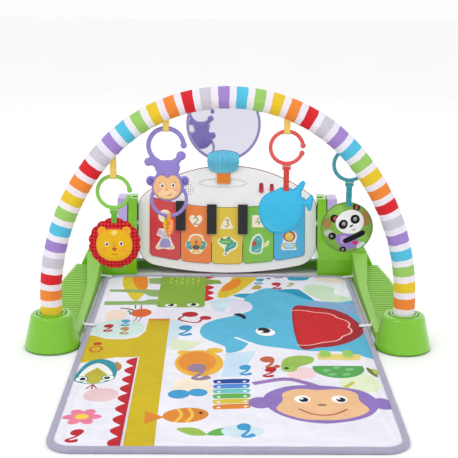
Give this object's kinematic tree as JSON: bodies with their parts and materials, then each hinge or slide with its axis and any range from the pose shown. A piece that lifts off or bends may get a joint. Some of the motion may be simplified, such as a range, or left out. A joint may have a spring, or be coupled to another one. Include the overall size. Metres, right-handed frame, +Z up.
{
  "type": "activity play gym",
  "caption": "Padded play mat between two low base arms, with a striped padded arch of hanging soft and snap-ring toys and a leaning toy piano with a round mirror behind it.",
  "frame": {"origin": "on the floor, in the middle of the whole footprint", "axes": "+X across the mat to the right as a person faces the piano, +Y towards the piano, +Z up"},
  "size_m": [0.699, 0.9155, 0.4501],
  "materials": {
    "mat_fabric": "printed woven polyester, padded",
    "white_webbing": "woven tape",
    "green_plastic": "moulded, glossy",
    "green_ribbed": "moulded, ribbed and satin",
    "dark_green": "moulded, satin",
    "lavender_plastic": "moulded, glossy",
    "white_plastic": "moulded, glossy",
    "trim_red": "moulded, satin",
    "key_red": "moulded, glossy",
    "key_orange": "moulded, glossy",
    "key_yellow": "moulded, glossy",
    "key_green": "moulded, glossy",
    "key_blue": "moulded, glossy",
    "black_plastic": "moulded, glossy",
    "slider_red": "moulded, glossy",
    "rubber_pad": "soft grip",
    "dome_rubber": "silicone",
    "steel": "zinc plated",
    "board": "solder mask",
    "speaker_black": "paper cone and frame",
    "cell_wrap": "plain wrap",
    "mirror_silver": "silvered safety acrylic",
    "rim_lavender": "satin rim",
    "blue_fabric": "pleated woven polyester",
    "orange_webbing": "woven webbing",
    "tube_white": "extruded tube",
    "stripe_fabric": "striped padded polyester",
    "yellow_ribbon": "satin ribbon",
    "ring_green": "moulded, glossy",
    "ring_red": "moulded, glossy",
    "ring_teal": "moulded, glossy",
    "monkey_purple": "moulded, soft gloss",
    "monkey_tan": "moulded, satin",
    "charm_orange": "moulded, satin",
    "lion_plush": "stuffed fabric with printed face",
    "elephant_plush": "stuffed plush",
    "panda_plush": "stuffed fabric, printed"
  },
  "bodies": {
    "base": {"mat": "mat_fabric", "mat_loops": "white_webbing", "wing_left": "green_ribbed", "wing_right": "green_ribbed", "cup_left": "green_plastic", "cup_right": "green_plastic", "tower_left": "green_plastic", "tower_right": "green_plastic", "socket_left": "green_plastic", "socket_right": "green_plastic", "base_cover_left": "dark_green", "base_cover_right": "dark_green", "rear_bar": "dark_green", "floor_pads": "rubber_pad", "base_screws": "steel"},
    "left_latch": {"latch_left": "lavender_plastic"},
    "right_latch": {"latch_right": "lavender_plastic"},
    "piano": {"piano_front": "white_plastic", "piano_trim": "trim_red", "piano_back": "white_plastic", "piano_screws": "steel", "black_keys": "black_plastic", "key_rod": "steel", "key_domes": "dome_rubber", "key_board": "board", "main_board": "board", "speaker": "speaker_black", "battery_cells": "cell_wrap", "mirror_strap": "orange_webbing", "holder_flap": "blue_fabric"},
    "door": {"battery_door": "white_plastic"},
    "red_key": {"key_1": "key_red"},
    "orange_key": {"key_2": "key_orange"},
    "yellow_key": {"key_3": "key_yellow"},
    "green_key": {"key_4": "key_green"},
    "blue_key": {"key_5": "key_blue"},
    "power_switch": {"power_slider": "slider_red"},
    "volume_switch": {"volume_slider": "slider_red"},
    "mirror": {"mirror_rim": "rim_lavender", "mirror_glass": "mirror_silver", "mirror_back": "rim_lavender", "mirror_holder": "blue_fabric"},
    "arch": {"tube_left": "tube_white", "tube_right": "tube_white", "tube_joiner": "tube_white", "arch_sleeve": "stripe_fabric", "toy_ribbons": "yellow_ribbon"},
    "lion_link": {"lion_ring": "ring_green"},
    "lion_toy": {"lion": "lion_plush"},
    "monkey_toy": {"monkey": "monkey_purple", "monkey_face": "monkey_tan"},
    "charms": {"monkey_charms": "charm_orange"},
    "elephant_link": {"elephant_ring": "ring_red"},
    "elephant_toy": {"elephant": "elephant_plush"},
    "panda_link": {"panda_ring": "ring_teal"},
    "panda_toy": {"panda": "panda_plush"}
  },
  "joints": [
    {"name": "left_latch_press", "type": "slide", "parent": "base", "child": "left_latch", "axis": [1, 0, 0], "range_m": [0, 0.0018], "stiffness_N_per_m": 600, "springref_m": -0.003},
    {"name": "right_latch_press", "type": "slide", "parent": "base", "child": "right_latch", "axis": [-1, 0, 0], "range_m": [0, 0.0018], "stiffness_N_per_m": 600, "springref_m": -0.003},
    {"name": "piano_lift", "type": "slide", "parent": "base", "child": "piano", "axis": [0, 0, 1], "range_m": [0, 0.07]},
    {"name": "door_off", "type": "slide", "parent": "piano", "child": "door", "axis": [0, 1, 0], "range_m": [0, 0.02]},
    {"name": "red_key_press", "type": "hinge", "parent": "piano", "child": "red_key", "pos_m": [0, 0.42662, 0.13154], "axis": [1, 0, 0], "range_deg": [0, 2], "stiffness_Nm_per_rad": 1.2, "springref_deg": -5.73},
    {"name": "orange_key_press", "type": "hinge", "parent": "piano", "child": "orange_key", "pos_m": [0, 0.42662, 0.13154], "axis": [1, 0, 0], "range_deg": [0, 2], "stiffness_Nm_per_rad": 1.2, "springref_deg": -5.73},
    {"name": "yellow_key_press", "type": "hinge", "parent": "piano", "child": "yellow_key", "pos_m": [0, 0.42662, 0.13154], "axis": [1, 0, 0], "range_deg": [0, 2], "stiffness_Nm_per_rad": 1.2, "springref_deg": -5.73},
    {"name": "green_key_press", "type": "hinge", "parent": "piano", "child": "green_key", "pos_m": [0, 0.42662, 0.13154], "axis": [1, 0, 0], "range_deg": [0, 2], "stiffness_Nm_per_rad": 1.2, "springref_deg": -5.73},
    {"name": "blue_key_press", "type": "hinge", "parent": "piano", "child": "blue_key", "pos_m": [0, 0.42662, 0.13154], "axis": [1, 0, 0], "range_deg": [0, 2], "stiffness_Nm_per_rad": 1.2, "springref_deg": -5.73},
    {"name": "power_slide", "type": "slide", "parent": "piano", "child": "power_switch", "axis": [0, 0.225, 0.9744], "range_m": [0, 0.01]},
    {"name": "volume_slide", "type": "slide", "parent": "piano", "child": "volume_switch", "axis": [0, 0.225, 0.9744], "range_m": [0, 0.007]},
    {"name": "mirror_tilt", "type": "hinge", "parent": "piano", "child": "mirror", "pos_m": [-0.009, 0.44, 0.225], "axis": [1, 0, 0], "range_deg": [-20, 20]},
    {"name": "arch_lift", "type": "slide", "parent": "base", "child": "arch", "axis": [0, 0, 1], "range_m": [0, 0.055]},
    {"name": "lion_ring_swing", "type": "hinge", "parent": "arch", "child": "lion_link", "pos_m": [-0.191, -0.0375, 0.2998], "axis": [1, 0, 0], "range_deg": [-40, 40]},
    {"name": "lion_swing", "type": "hinge", "parent": "lion_link", "child": "lion_toy", "pos_m": [-0.191, -0.0375, 0.2375], "axis": [1, 0, 0], "range_deg": [-40, 40]},
    {"name": "monkey_swing", "type": "hinge", "parent": "arch", "child": "monkey_toy", "pos_m": [-0.103, -0.0375, 0.38], "axis": [1, 0, 0], "range_deg": [-40, 40]},
    {"name": "charms_swing", "type": "hinge", "parent": "monkey_toy", "child": "charms", "pos_m": [-0.099, -0.0365, 0.232], "axis": [1, 0, 0], "range_deg": [-40, 40]},
    {"name": "elephant_ring_swing", "type": "hinge", "parent": "arch", "child": "elephant_link", "pos_m": [0.096, -0.0375, 0.3758], "axis": [1, 0, 0], "range_deg": [-40, 40]},
    {"name": "elephant_swing", "type": "hinge", "parent": "elephant_link", "child": "elephant_toy", "pos_m": [0.096, -0.0375, 0.3135], "axis": [1, 0, 0], "range_deg": [-40, 40]},
    {"name": "panda_ring_swing", "type": "hinge", "parent": "arch", "child": "panda_link", "pos_m": [0.204, -0.012, 0.3428], "axis": [1, 0, 0], "range_deg": [0, 40]},
    {"name": "panda_swing", "type": "hinge", "parent": "panda_link", "child": "panda_toy", "pos_m": [0.204, -0.012, 0.2805], "axis": [1, 0, 0], "range_deg": [-40, 40]}
  ]
}
